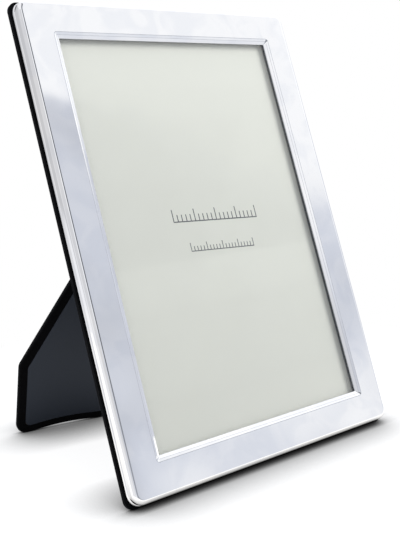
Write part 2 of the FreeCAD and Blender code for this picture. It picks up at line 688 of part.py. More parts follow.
def strut_top(side):
    """A top corner of the strut, from the hinge's centre."""
    slant = "Sizes.hinge_slant_deg"
    half = f"({side} * ({HINGE_HALF} + Sizes.strut_top_margin))"
    x = f"({HINGE_X} + {half} * cos({slant}) + Sizes.strut_above_axis * sin({slant}))"
    y = f"({HINGE_Y} - {half} * sin({slant}) + Sizes.strut_above_axis * cos({slant}))"
    return x, y


def make_strut_outline():
    """The strut's outline, drawn smaller by its corner radius, so that growing it rounds the corners."""
    heel_pad = f"({STRUT_LEFT} + Sizes.strut_foot_pad)"
    span = f"({TOE_PAD} - {heel_pad})"
    radius = f"({span} * {span} / 8 / Sizes.strut_foot_arch + Sizes.strut_foot_arch / 2)"
    points = [
        strut_top(-1),
        (STRUT_LEFT, f"({STRUT_BOTTOM} + 2 * {BACK_Y} * Sizes.side_foot_share)"),
        (STRUT_LEFT, STRUT_BOTTOM),
        (heel_pad, STRUT_BOTTOM),
        (TOE_PAD, STRUT_BOTTOM),
        (STRUT_TOE, STRUT_BOTTOM),
        strut_top(1),
    ]
    sketch = doc.addObject("Sketcher::SketchObject", "strut_sketch")
    draw_outline(sketch, points, [(3, radius)])
    doc.recompute()
    core = doc.addObject("Part::Offset2D", "strut_core")
    core.Source = sketch
    core.Join = "Intersection"
    core.setExpression("Value", "-Sizes.strut_corner_radius")
    doc.recompute()
    return core


def strut_layer(label, core, inset, near, far):
    """A layer of the strut between two depths, set in from its outline."""
    edge = doc.addObject("Part::Offset2D", f"{label}_edge")
    edge.Source = core
    edge.Join = "Arc"
    edge.setExpression("Value", f"Sizes.strut_corner_radius - {inset}")
    layer = doc.addObject("Part::Extrusion", label)
    layer.Base = edge
    layer.DirMode = "Custom"
    layer.Dir = Vector(0, 0, 1)
    layer.Solid = True
    layer.setExpression("LengthFwd", f"{far} - {near}")
    layer.setExpression("Placement.Base.z", f"-{far}")
    doc.recompute()
    return layer


def make_strut():
    """The strut's board, its velvet wrap and the smooth lining on its near face."""
    core = make_strut_outline()
    skin = "Sizes.velvet_thickness"
    board_near = f"({STRUT_NEAR} + {skin})"
    board_far = f"({STRUT_FAR} - {skin})"
    whole = strut_layer("strut_whole", core, "0", STRUT_NEAR, STRUT_FAR)
    blank = strut_layer("strut_blank", core, skin, board_near, board_far)
    panel = strut_layer("strut_panel", core, "Sizes.strut_border", STRUT_NEAR, board_near)
    lining_inset = "(Sizes.strut_border + Sizes.lining_gap)"
    lining = strut_layer("lining_blank", core, lining_inset, STRUT_NEAR, board_near)
    inside = doc.addObject("Part::Compound", "strut_inside")
    inside.Links = [blank, panel]
    near = f"-({HINGE_RISE} + Sizes.strut_thickness)"
    bores = rivet_bores("strut_bores", MOVING_ROW, near, f"-{HINGE_RISE}")
    bores.Placement = Placement(HINGE_CENTRE, HINGE_TURN)
    doc.recompute()
    board = cut("strut_board", blank, bores, STANDING_STRUT)
    lined = cut("strut_lining", lining, bores, STANDING_STRUT)
    wrap = cut("strut_wrap", whole, inside, Placement())
    pierced = cut("strut_pierced", wrap, bores, STANDING_STRUT)
    return board, lined, pierced


def make_floor():
    """The block under the floor, which trims what stands on it to a flat strip."""
    block = doc.addObject("Part::Box", "floor_block")
    reach = value_of(BACK_Y) + size("floor_overrun")
    block.Length = 2 * reach
    block.Width = 2 * reach
    block.Height = size("floor_overrun")
    block.Placement = Placement(Vector(-reach, -reach, -size("floor_overrun")), Rotation())
    return block


post_holes = make_post_holes("Sizes.post_diameter / 2 + Sizes.seat_gap")
pieces = [make_front()]
pieces.extend(make_core(post_holes))

lip = "Sizes.lip_depth"
pane_rear = f"({lip} + Sizes.pane_thickness)"
slip_rear = f"({pane_rear} + Sizes.slip_thickness)"
picture = rectangle("(Sizes.picture_width / 2)", "(Sizes.picture_height / 2)")
pieces.append(plate("glass_pane", pane_rear, "Sizes.pane_thickness", [picture]))
pieces.append(plate("photo_slip", slip_rear, "Sizes.slip_thickness", [picture]))
pieces.append(plate("backing_card", "Sizes.front_depth", f"Sizes.front_depth - {slip_rear}", [picture]))

surround_board, surround_pierced = make_surround(post_holes)
pieces.append(surround_board)
door_bores = rivet_bores("door_bores", FIXED_ROW, HINGE_RISE, f"({HINGE_RISE} + Sizes.back_thickness)")
door_bores.Placement = Placement(HINGE_CENTRE, HINGE_TURN)
pieces.extend(make_door(door_bores))
pieces.append(make_posts())
names = ("upper_left", "lower_left", "upper_right", "lower_right")
for name, (x, y) in zip(names, button_places()):
    pieces.append(make_button(f"turn_button_{name}", x, y))
pieces.extend([make_fixed_leaf(), make_moving_leaf(), make_hinge_pin()])
pieces.extend([make_fixed_rivets(), make_moving_rivets()])
strut_board, strut_lining, strut_pierced = make_strut()
pieces.extend([strut_board, strut_lining])
floor = make_floor()
surround_pierced.Placement = STANDING
pieces.append(cut("surround_velvet", surround_pierced, floor, Placement()))
pieces.append(cut("strut_velvet", strut_pierced, floor, Placement()))
doc.recompute()

faults = [item.Name for item in doc.Objects if "Invalid" in item.State or "Error" in item.State]
if faults:
    raise RuntimeError(f"these objects failed: {faults}")
os.makedirs("parts", exist_ok=True)
for piece in pieces:
    shape = piece.Shape
    if shape.isNull() or not shape.isValid() or not shape.Solids:
        raise RuntimeError(f"{piece.Label} has no valid solid")
    shape.exportStep(f"parts/{piece.Label}.step")
    print(f"{piece.Label}: {len(shape.Solids)} solids, {shape.Volume:.1f} mm3")
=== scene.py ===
"""Visual model and photograph setup of an easel back photo frame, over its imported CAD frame."""
import json
import logging
import math
from dataclasses import dataclass
from enum import Enum
from typing import NamedTuple

import bmesh
import bpy
from mathutils import Matrix, Vector

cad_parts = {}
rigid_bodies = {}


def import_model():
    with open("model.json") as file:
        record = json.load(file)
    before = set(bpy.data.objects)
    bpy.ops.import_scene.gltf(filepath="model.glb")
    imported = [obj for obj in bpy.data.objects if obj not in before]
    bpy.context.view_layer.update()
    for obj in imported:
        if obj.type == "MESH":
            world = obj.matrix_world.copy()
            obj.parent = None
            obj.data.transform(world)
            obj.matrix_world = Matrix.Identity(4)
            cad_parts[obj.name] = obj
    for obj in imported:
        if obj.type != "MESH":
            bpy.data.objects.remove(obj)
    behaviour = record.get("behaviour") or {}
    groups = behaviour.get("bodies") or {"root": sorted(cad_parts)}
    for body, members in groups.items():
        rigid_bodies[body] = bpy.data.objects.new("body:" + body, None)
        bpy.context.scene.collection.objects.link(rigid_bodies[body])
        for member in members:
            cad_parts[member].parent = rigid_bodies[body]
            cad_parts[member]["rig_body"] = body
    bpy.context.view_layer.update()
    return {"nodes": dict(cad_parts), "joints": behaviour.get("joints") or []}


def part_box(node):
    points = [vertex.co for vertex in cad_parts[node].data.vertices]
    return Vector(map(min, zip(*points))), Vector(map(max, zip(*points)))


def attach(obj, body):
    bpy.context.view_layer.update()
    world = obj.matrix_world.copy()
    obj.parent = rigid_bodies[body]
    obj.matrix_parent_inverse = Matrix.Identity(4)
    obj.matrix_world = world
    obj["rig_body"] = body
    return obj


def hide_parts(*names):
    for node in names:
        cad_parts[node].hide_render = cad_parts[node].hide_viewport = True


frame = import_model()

LOG = logging.getLogger("scene")
MM = 0.001
WHITE = (1.0, 1.0, 1.0, 1.0)

# How deep the pane's middle lies behind the face of the front.
PANE_MIDDLE_MM = 2.5

# Edges that turn more than these stay sharp: on pressed sheet and on velvet.
SHEET_SHARP_DEG = 20.0
CLOTH_SHARP_DEG = 50.0

# How far apart the rows of a skin lie while they are bridged.
ROWS_APART_MM = 10.0

# The setting of a Map Range node that makes its change a smooth one.
SMOOTH = {"interpolation_type": "SMOOTHSTEP"}


class Slot(Enum):
    """The record's material slots."""

    SILVER = "silver_plate"
    GLASS = "clear_glass"
    PAPER = "paper_slip"
    CARD = "grey_card"
    WOOD = "core_wood"
    BOARD = "fibreboard"
    VELVET = "black_velvet"
    LINING = "smooth_lining"
    NICKEL = "nickel"

    @classmethod
    def of_node(cls, name: str) -> "Slot":
        """Tells the slot of a CAD node from its name.

        Args:
            name: the node's name.
        Returns:
            The slot.
        """
        if name.startswith("core_rail"):
            return cls.WOOD
        if name.endswith("velvet"):
            return cls.VELVET
        if name.endswith("board"):
            return cls.BOARD
        known = {"front_moulding": cls.SILVER, "glass_pane": cls.GLASS, "photo_slip": cls.PAPER,
                 "backing_card": cls.CARD, "strut_lining": cls.LINING}
        return known.get(name, cls.NICKEL)


def joint_named(name: str) -> dict:
    """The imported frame's joint of that name."""
    return next(joint for joint in frame["joints"] if joint["name"] == name)


def leaning_place() -> Matrix:
    """Finds the place of the leaning face in the row frame.

    Returns:
        The turn and move from the face's own drawing in millimetres (x across, y up along the face,
        z to the viewer, from the middle of the window) to the row frame in metres.
    """
    # The turn buttons' pins stand square to the face.
    normal = Vector(joint_named("button_upper_left_pivot")["axis"])
    low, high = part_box("glass_pane")
    origin = (low + high) / 2 + normal * PANE_MIDDLE_MM * MM
    up = Vector((0.0, normal.z, -normal.y))
    turn = Matrix((Vector((1, 0, 0)), up, normal)).transposed().to_4x4()
    return Matrix.Translation(origin) @ turn @ Matrix.Scale(MM, 4)


LEANING = leaning_place()


def linear(hex_colour: str) -> tuple[float, float, float, float]:
    """Turns an sRGB colour into the linear values that shaders use, by the sRGB standard's curve.

    Args:
        hex_colour: the colour as six hex digits after a #.
    Returns:
        Linear red, green, blue and an alpha of 1.
    """
    digits = hex_colour.lstrip("#")
    parts = [int(digits[i : i + 2], 16) / 255 for i in (0, 2, 4)]
    return (*(p / 12.92 if p <= 0.04045 else ((p + 0.055) / 1.055) ** 2.4 for p in parts), 1.0)


class Band(NamedTuple):
    """A smooth change from one level to another, while a value goes from start to stop."""

    start: float
    stop: float
    before: float = 0.0
    after: float = 1.0


class Graph:
    """A node tree that is being filled in."""

    def __init__(self, tree: bpy.types.NodeTree) -> None:
        """Empties the tree."""
        self.tree = tree
        tree.nodes.clear()

    def add(self, kind: str, *values: object, **named: object) -> bpy.types.Node:
        """Adds one node with its settings and links.

        Args:
            kind: the node's type, without the ShaderNode prefix.
            values: what goes into its inputs, in their order: a number, a colour, an output socket,
                or a node, which stands for its first output.
            named: its settings, and what goes into other inputs; _ stands for a space in an input's
                name, and a name such as in_6 gives the input's number.
        Returns:
            The new node.
        """
        node = self.tree.nodes.new("ShaderNode" + kind)
        inputs = dict(enumerate(values))
        for name, value in named.items():
            if hasattr(node, name):
                setattr(node, name, value)
            else:
                inputs[int(name[3:]) if name.startswith("in_") else name.replace("_", " ")] = value
        for key, value in inputs.items():
            if isinstance(value, bpy.types.Node):
                value = value.outputs[0]
            if isinstance(value, bpy.types.NodeSocket):
                self.tree.links.new(value, node.inputs[key])
            else:
                node.inputs[key].default_value = value
        return node


def new_material(name: str) -> tuple[bpy.types.Material, Graph]:
    """Makes an empty material.

    Args:
        name: the material's name.
    Returns:
        The material and its graph.
    """
    material = bpy.data.materials.new(name)
    material.use_nodes = True
    return material, Graph(material.node_tree)


def dress(piece: bpy.types.Object, material: bpy.types.Material) -> None:
    """Puts one material in every slot of a piece.

    Args:
        piece: the CAD node.
        material: its finish.
    """
    for slot in piece.material_slots:
        slot.link = "OBJECT"
        slot.material = material
    if not piece.material_slots:
        piece.data.materials.append(material)
    LOG.info("%s: dressed in %s", piece.name, material.name)


class Outline:
    """A closed line in the face's plane, in millimetres, anticlockwise."""

    LEAST_TURN_DEG = 10.0

    def __init__(self, corners: list[tuple[float, float]], radius: float = 0.0, steps: int = 10) -> None:
        """Draws the line and rounds its corners.

        Args:
            corners: the corners, anticlockwise.
            radius: how far every corner is rounded.
            steps: how many straight pieces a rounded corner has.
        """
        bm = bmesh.new()
        places = [Vector((x, y, 0.0)) for x, y in corners]
        points = [bm.verts.new(place) for place in places]
        bm.faces.new(points)
        for i, point in enumerate(points):
            turn = (places[i] - places[i - 1]).angle(places[(i + 1) % len(places)] - places[i])
            if radius and math.degrees(turn) > self.LEAST_TURN_DEG:
                bmesh.ops.bevel(bm, geom=[point], offset=radius * math.tan(turn / 2), affect="VERTICES",
                                segments=steps, profile=0.5, material=-1, clamp_overlap=False)
        bm.faces.ensure_lookup_table()
        self.line = [vert.co.copy() for vert in bm.faces[0].verts]
        bm.free()

    @classmethod
    def rectangle(cls, half_width: float, half_height: float, radius: float = 0.0) -> "Outline":
        """A rectangle round the window's centre."""
        return cls([(-half_width, -half_height), (half_width, -half_height),
                    (half_width, half_height), (-half_width, half_height)], radius)

    def drawn_in(self, inset: float) -> list[Vector]:
        """Moves the line inwards by an even distance.

        Args:
            inset: the distance, outwards where it is below 0.
        Returns:
            The moved points, in the line's order.
        """
        moved = []
        for i, point in enumerate(self.line):
            before = (point - self.line[i - 1]).normalized()
            after = (self.line[(i + 1) % len(self.line)] - point).normalized()
            mitre = Vector((-before.y - after.y, before.x + after.x, 0.0))
            moved.append(point + mitre * inset / (1 + before.dot(after)))
        return moved


@dataclass(frozen=True)
class Course:
    """One closed row of a skin: an outline, drawn in by inset, at a depth behind the face's plane.

    The strip that follows a crease has the piece's second material, which paints shade into the crease.
    """

    outline: Outline
    inset: float
    depth: float
    crease: bool = False


def bend(start: Course, stop: Course, along_depth: bool, steps: int = 6) -> list[Course]:
    """Rounds an edge between two courses, both included.

    Args:
        start: where the rounding starts.
        stop: where it ends.
        along_depth: whether it sets out along the depth, or across it.
        steps: how many strips it has.
    Returns:
        The courses, in order.
    """
    courses = []
    for step in range(steps + 1):
        angle = math.pi / 2 * step / steps
        early, late = math.sin(angle), 1 - math.cos(angle)
        across, deep = (late, early) if along_depth else (early, late)
        courses.append(Course(start.outline, start.inset + (stop.inset - start.inset) * across,
                              start.depth + (stop.depth - start.depth) * deep))
    return courses


def skin(courses: list[Course], ring: bool) -> bmesh.types.BMesh:
    """Joins courses into one closed surface.

    Rows of as many points are bridged while all rows lie well apart, one behind the other, because
    two rows in one plane can be bridged crosswise. Then each row moves to its own depth, and the
    flat rings between rows of unlike numbers are filled.

    Args:
        courses: the rows of points, in order round the section.
        ring: whether the last course joins the first; otherwise both ends are closed with a face.
    Returns:
        The surface, in the face's own drawing.
    """
    bm = bmesh.new()
    points, rows = [], []
    for count, course in enumerate(courses):
        apart = -count * ROWS_APART_MM
        row = [bm.verts.new((p.x, p.y, apart)) for p in course.outline.drawn_in(course.inset)]
        points.append(row)
        rows.append([bm.edges.new((row[i - 1], row[i])) for i in range(len(row))])
    following = rows[1:] + (rows[:1] if ring else [])
    for course, here, there in zip(courses, rows, following):
        if len(here) == len(there):
            for face in bmesh.ops.bridge_loops(bm, edges=here + there)["faces"]:
                face.material_index = int(course.crease)
    for course, row in zip(courses, points):
        for point in row:
            point.co.z = -course.depth
    for course, here, there in zip(courses, rows, following):
        if len(here) != len(there):
            for item in bmesh.ops.triangle_fill(bm, edges=here + there, use_beauty=True)["geom"]:
                if isinstance(item, bmesh.types.BMFace):
                    item.material_index = int(course.crease)
    if not ring:
        for row in (rows[0], rows[-1]):
            bmesh.ops.contextual_create(bm, geom=row)
    bmesh.ops.recalc_face_normals(bm, faces=bm.faces[:])
    return bm


def finished(name: str, bm: bmesh.types.BMesh, place: Matrix, body: str, material: bpy.types.Material,
             replaced: list[str], sharp_deg: float = SHEET_SHARP_DEG) -> bpy.types.Object:
    """Turns a surface into a piece of the model.

    Args:
        name: the piece's name.
        bm: its surface, in its own drawing.
        place: where that drawing lies in the row frame.
        body: the CAD body that carries it.
        material: its finish.
        replaced: the CAD nodes that it stands for.
        sharp_deg: edges that turn more than this stay sharp, and so do those between two finishes.
    Returns:
        The new object.
    """
    bm.transform(place)
    for face in bm.faces:
        face.smooth = True
    for edge in bm.edges:
        kinds = {face.material_index for face in edge.link_faces}
        edge.smooth = (len(edge.link_faces) == 2 and len(kinds) == 1
                       and edge.calc_face_angle() < math.radians(sharp_deg))
    mesh = bpy.data.meshes.new(name)
    bm.to_mesh(mesh)
    bm.free()
    piece = bpy.data.objects.new(name, mesh)
    bpy.context.scene.collection.objects.link(piece)
    flat = piece.modifiers.new("flat_faces", "WEIGHTED_NORMAL")
    flat.keep_sharp = True
    mesh.materials.append(material)
    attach(piece, body)
    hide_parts(*replaced)
    LOG.info("%s: %d faces", name, len(mesh.polygons))
    return piece


@dataclass(frozen=True)
class Plain:
    """A plain finish, with an even grain in its tone and surface."""

    name: str
    colour: str
    dark_colour: str
    roughness: float
    metallic: float = 0.0
    grain_mm: float = 1.0
    grain_detail: float = 3.0
    relief: float = 0.0
    relief_mm: float = 0.1
    gloss: float = 0.5

    def make(self) -> bpy.types.Material:
        """Builds the material.

        Returns:
            The new material.
        """
        material, graph = new_material(self.name)
        place = graph.add("TexCoord").outputs["Object"]
        grain = graph.add("TexNoise", place, Scale=1 / (self.grain_mm * MM), Detail=self.grain_detail)
        tone = graph.add("Mix", grain, in_6=linear(self.dark_colour), in_7=linear(self.colour),
                         data_type="RGBA")
        bump = graph.add("Bump", Height=grain, Strength=self.relief, Distance=self.relief_mm * MM)
        shader = graph.add("BsdfPrincipled", Base_Color=tone.outputs[2], Roughness=self.roughness,
                           Metallic=self.metallic, Specular_IOR_Level=self.gloss, Normal=bump)
        graph.add("OutputMaterial", shader)
        return material


# Lime strip, sawn and planed: pale, matt and almost without figure. Its pores are under 0.1 mm, and
# are drawn as a grain of 1 mm.
LIMEWOOD = Plain("limewood", "#b99a6c", "#a2845a", roughness=0.6)
# Grey board, pulp from waste paper rolled dry in layers: dull, with flecks of fibre about 1 mm long.
GREY_CARD = Plain("grey_card", "#8d8d8b", "#7f7f7d", roughness=0.8)
# Hardboard, wet wood fibre pressed hot against a plate: brown and dull, its fibres about 1 mm long.
FIBREBOARD = Plain("fibreboard", "#6f543a", "#5e462f", roughness=0.75)
# Mild steel strip, stamped, tumbled and barrel plated with nickel: a warm, satin grey metal. What
# the tumbling leaves is under 0.1 mm, and is drawn as a faint mottle of 1 mm.
NICKEL = Plain("nickel_plated_steel", "#bfbbb4", "#b4b0a9", roughness=0.26, metallic=1.0)
# Rayon lining cloth, close woven and pressed between hot rollers: dark, smooth and a little silky.
# Its threads are about 0.15 mm wide, and are drawn as a grain of 0.5 mm.
LINING_CLOTH = Plain("smooth_lining_cloth", "#303743", "#29303b", roughness=0.5, grain_mm=0.5,
                     relief=0.1, gloss=0.4)
# Painted shade in the creases of the bevel: thin, pale grey, matt lines that stand for the shade the
# narrow grooves hold.
CREASE_SHADE = Plain("polish_in_crease", "#b0b3b8", "#a8abb0", roughness=0.6)


@dataclass(frozen=True)
class SilverPlate:
    """Silver plated brass: the sheet is pressed to shape, electroplated and buffed with a soft mop.

    It is almost a mirror. The press leaves it a little wavy, about 0.05 mm over 24 mm, and the mop
    leaves faint smears of about 13 mm.
    """

    name: str = "polished_silver_plate"
    colour: str = "#fbf9f6"
    smeared_colour: str = "#f4f3f2"
    roughness: float = 0.05
    smear_mm: float = 13.0
    smear_detail: float = 2.0
    smear_swirl: float = 0.8
    smear_edge: Band = Band(0.38, 0.62)
    wave_mm: float = 24.0
    wave_detail: float = 1.0
    wave_height_mm: float = 0.05

    def make(self) -> bpy.types.Material:
        """Builds the material.

        Returns:
            The new material.
        """
        material, graph = new_material(self.name)
        place = graph.add("TexCoord").outputs["Object"]
        waves = graph.add("TexNoise", place, Scale=1 / (self.wave_mm * MM), Detail=self.wave_detail)
        smears = graph.add("TexNoise", place, Scale=1 / (self.smear_mm * MM), Detail=self.smear_detail,
                           Distortion=self.smear_swirl)
        smeared = graph.add("MapRange", smears, *self.smear_edge, **SMOOTH)
        tone = graph.add("Mix", smeared, in_6=linear(self.smeared_colour), in_7=linear(self.colour),
                         data_type="RGBA")
        bump = graph.add("Bump", Height=waves, Strength=1.0, Distance=self.wave_height_mm * MM)
        shader = graph.add("BsdfPrincipled", Base_Color=tone.outputs[2], Metallic=1.0,
                           Roughness=self.roughness, Normal=bump)
        graph.add("OutputMaterial", shader)
        return material


@dataclass(frozen=True)
class WindowGlass:
    """Float glass, 2 mm, cut from a sheet that set flat on molten tin: clear, with a faint mirror image.

    Both faces mirror about as much, and the outer one is drawn with the image of the two.
    """

    name: str = "float_glass"
    tint: str = "#fefefe"
    ior: float = 1.5
    roughness: float = 0.0
    two_faces: float = 1.8

    def make(self) -> bpy.types.Material:
        """Builds the material.

        Returns:
            The new material.
        """
        material, graph = new_material(self.name)
        clear = graph.add("BsdfTransparent", linear(self.tint))
        mirror = graph.add("BsdfGlossy", WHITE, Roughness=self.roughness)
        mirrored = graph.add("Math", graph.add("Fresnel", self.ior), self.two_faces, operation="MULTIPLY")
        inside = graph.add("NewGeometry").outputs["Backfacing"]
        share = graph.add("Mix", inside, in_2=mirrored, in_3=0.0)
        graph.add("OutputMaterial", graph.add("MixShader", share, clear, mirror))
        return material


@dataclass(frozen=True)
class Velvet:
    """Black cotton velvet: woven with a cut pile, dyed, and glued over board.

    It is the deepest black of the object, and lights up a little at grazing angles. Its tufts are
    under 0.1 mm wide and are drawn 0.5 mm wide, as fine as they would show. Handling brushes the pile
    in patches of about 9 mm.
    """

    name: str = "black_cotton_velvet"
    colour: str = "#0b0b0d"
    brushed_colour: str = "#030304"
    sheen_colour: str = "#8a8d94"
    sheen: float = 0.16
    sheen_roughness: float = 0.4
    roughness: float = 0.95
    gloss: float = 0.1
    pile_mm: float = 0.5
    pile_detail: float = 4.0
    pile_tone: Band = Band(0.4, 0.6, 0.0, 0.4)
    brushed_mm: float = 9.0
    brushed_detail: float = 2.0
    brushed_swirl: float = 0.6
    brushed_tone: Band = Band(0.4, 0.6, 0.0, 0.6)
    brushed_height: float = 4.0
    relief: float = 0.6
    relief_mm: float = 0.3

    def make(self) -> bpy.types.Material:
        """Builds the material.

        Returns:
            The new material.
        """
        material, graph = new_material(self.name)
        place = graph.add("TexCoord").outputs["Object"]
        pile = graph.add("TexNoise", place, Scale=1 / (self.pile_mm * MM), Detail=self.pile_detail)
        brushed = graph.add("TexNoise", place, Scale=1 / (self.brushed_mm * MM),
                            Detail=self.brushed_detail, Distortion=self.brushed_swirl)
        share = graph.add("Math", graph.add("MapRange", brushed, *self.brushed_tone, **SMOOTH),
                          graph.add("MapRange", pile, *self.pile_tone, **SMOOTH), operation="ADD")
        tone = graph.add("Mix", share, in_6=linear(self.brushed_colour), in_7=linear(self.colour),
                         data_type="RGBA")
        height = graph.add("Math", brushed, self.brushed_height, pile, operation="MULTIPLY_ADD")
        bump = graph.add("Bump", Height=height, Strength=self.relief, Distance=self.relief_mm * MM)
        shader = graph.add("BsdfPrincipled", Base_Color=tone.outputs[2], Roughness=self.roughness,
                           Specular_IOR_Level=self.gloss, Sheen_Weight=self.sheen,
                           Sheen_Roughness=self.sheen_roughness, Sheen_Tint=linear(self.sheen_colour),
                           Normal=bump)
        graph.add("OutputMaterial", shader)
        return material


@dataclass(frozen=True)
class TickRow:
    """A row of upright ticks on a base line, in millimetres on the slip."""

    left: float
    right: float
    base: float
    short: float
    tall: float
    gaps: int = 20
    tall_every: int = 5
    stroke: float = 0.42

    def ink(self, graph: Graph, x: bpy.types.NodeSocket, y: bpy.types.NodeSocket) -> bpy.types.Node:
        """Adds the row's ink.

        Args:
            graph: the slip's material.
            x: the place across the slip.
            y: the place up the slip.
        Returns:
            The node that gives 1 on a tick or the base line, and 0 elsewhere.
        """
        pitch = (self.right - self.left) / self.gaps
        reach = self.stroke / 2 / pitch
        along = graph.add("Math", x, self.left, operation="SUBTRACT")
        count = graph.add("Math", along, pitch, operation="DIVIDE")
        often = graph.add("Math", count, float(self.tall_every), operation="DIVIDE")
        tall = self.near_whole(graph, often, reach / self.tall_every)
        top = graph.add("Mix", tall, in_2=self.base + self.short, in_3=self.base + self.tall)
        under_top = graph.add("Math", y, top, operation="LESS_THAN")
        tick = graph.add("Math", self.near_whole(graph, count, reach), under_top, operation="MULTIPLY")
        line = graph.add("Math", y, self.base + self.stroke, operation="LESS_THAN")
        either = graph.add("Math", tick, line, operation="MAXIMUM")
        above = graph.add("Math", y, self.base, operation="GREATER_THAN")
        off_middle = graph.add("Math", x, (self.left + self.right) / 2, operation="SUBTRACT")
        within = graph.add("Math", graph.add("Math", off_middle, operation="ABSOLUTE"),
                           (self.right - self.left + self.stroke) / 2, operation="LESS_THAN")
        inked = graph.add("Math", either, above, operation="MULTIPLY")
        return graph.add("Math", inked, within, operation="MULTIPLY")

    @staticmethod
    def near_whole(graph: Graph, value: bpy.types.Node, reach: float) -> bpy.types.Node:
        """Tells whether a number lies near a whole one.

        Args:
            graph: the slip's material.
            value: the number.
            reach: how near it has to be.
        Returns:
            The node that gives 1 where it is so, and 0 elsewhere.
        """
        share = graph.add("Math", graph.add("Math", value, 0.5, operation="ADD"), operation="FRACT")
        off_whole = graph.add("Math", share, 0.5, operation="SUBTRACT")
        return graph.add("Math", graph.add("Math", off_whole, operation="ABSOLUTE"), reach,
                         operation="LESS_THAN")


@dataclass(frozen=True)
class SlipPaper:
    """The printed slip: uncoated pale grey-green paper, litho printed with a graduated rule in grey.

    The paper is dull, and its fibres are too fine to show. The print sits a little askew. The strip
    under the front's lip is near black in the photograph, and is drawn so. That strip is painted
    shade: the shadow that the lip casts on the slip, put into the paper's colour.
    """

    name: str = "slip_paper_printed"
    colour: str = "#dcddd1"
    ink: str = "#4d504f"
    # Painted shade: the colour of the strip under the lip, where the lip shades the slip.
    painted_shade: str = "#2c302f"
    roughness: float = 0.75
    lip_half_width: float = 48.0
    lip_half_height: float = 73.4
    # How far past the lip's edge the painted shade starts and becomes full, in millimetres.
    painted_shade_beyond: Band = Band(0.7, 1.1)
    askew: float = 0.045
    upper: TickRow = TickRow(left=-17.0, right=22.5, base=3.2, short=2.9, tall=4.9)
    lower: TickRow = TickRow(left=-12.2, right=17.6, base=-8.0, short=2.0, tall=3.3, stroke=0.34)

    def make(self) -> bpy.types.Material:
        """Builds the material.

        Returns:
            The new material.
        """
        material, graph = new_material(self.name)
        turn = LEANING.to_3x3().normalized().to_euler()
        place = graph.add("Mapping", graph.add("TexCoord").outputs["Object"], vector_type="TEXTURE",
                          Location=LEANING.translation, Rotation=turn, Scale=(MM, MM, MM))
        axes = graph.add("SeparateXYZ", place).outputs
        up = graph.add("Math", axes["X"], self.askew, axes["Y"], operation="MULTIPLY_ADD").outputs[0]
        ink = graph.add("Math", self.upper.ink(graph, axes["X"], up),
                        self.lower.ink(graph, axes["X"], up), operation="MAXIMUM")
        past_side = graph.add("Math", graph.add("Math", axes["X"], operation="ABSOLUTE"),
                              self.lip_half_width, operation="SUBTRACT")
        past_end = graph.add("Math", graph.add("Math", axes["Y"], operation="ABSOLUTE"),
                             self.lip_half_height, operation="SUBTRACT")
        beyond = graph.add("Math", past_side, past_end, operation="MAXIMUM")
        # Painted shade: the slip darkens past the lip's edge, where the lip shades it.
        painted_shade_share = graph.add("MapRange", beyond, *self.painted_shade_beyond, **SMOOTH)
        paper = graph.add("Mix", painted_shade_share, in_6=linear(self.colour), in_7=linear(self.painted_shade),
                          data_type="RGBA")
        printed = graph.add("Mix", ink, in_6=paper.outputs[2], in_7=linear(self.ink), data_type="RGBA")
        graph.add("OutputMaterial", graph.add("BsdfPrincipled", printed.outputs[2],
                                              Roughness=self.roughness))
        return material


